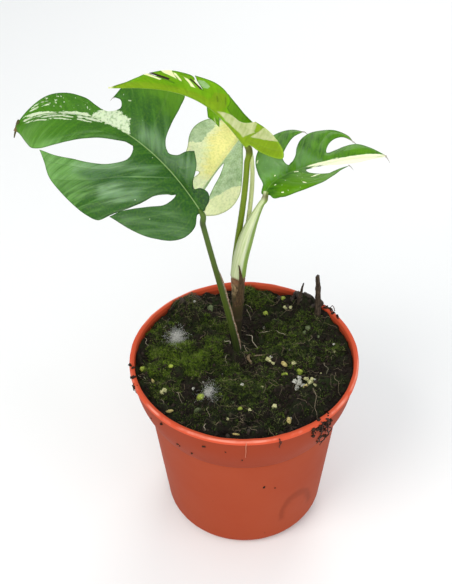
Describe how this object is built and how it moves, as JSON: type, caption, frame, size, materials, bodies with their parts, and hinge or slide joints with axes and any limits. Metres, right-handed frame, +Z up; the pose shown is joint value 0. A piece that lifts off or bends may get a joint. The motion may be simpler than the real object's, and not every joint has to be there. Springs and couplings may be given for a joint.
{
  "type": "potted variegated mini monstera",
  "caption": "Young variegated mini monstera with split, cream-marked leaves on slender stalks, rooted in mossy soil in a round terracotta-coloured nursery pot.",
  "frame": {"origin": "centre of the pot's flat underside, on the surface that it stands on", "axes": "+Z up along the pot's axis; -Y is the front of the plant, from which the largest leaf reaches to the left (-X)"},
  "size_m": [0.1852, 0.12, 0.2652],
  "materials": {
    "terracotta_plastic": "satin terracotta-coloured plastic with a brighter lip",
    "mossy_soil": "damp peat under patches of moss",
    "old_stem": "dry brown papery skin",
    "old_petiole": "smooth green with a dry tan edge",
    "young_petiole": "smooth olive green",
    "pale_petiole": "pale green to cream, a green rib on one side",
    "dark_blade": "glossy dark green with cream patches and flecks",
    "fresh_blade": "fresh yellow green with cream streaks",
    "cream_blade": "cream and grey green underside",
    "mid_blade": "glossy mid green with a cream stripe",
    "dead_wood": "dark weathered bark"
  },
  "bodies": {
    "root": {"pot": "terracotta_plastic", "soil": "mossy_soil", "stem": "old_stem", "petiole_a": "old_petiole", "petiole_b": "young_petiole", "petiole_c": "pale_petiole", "petiole_d": "pale_petiole", "leaf_a": "dark_blade", "leaf_b": "fresh_blade", "leaf_c": "cream_blade", "leaf_d": "mid_blade", "twig": "dead_wood", "bark_splinter": "dead_wood"}
  },
  "joints": []
}
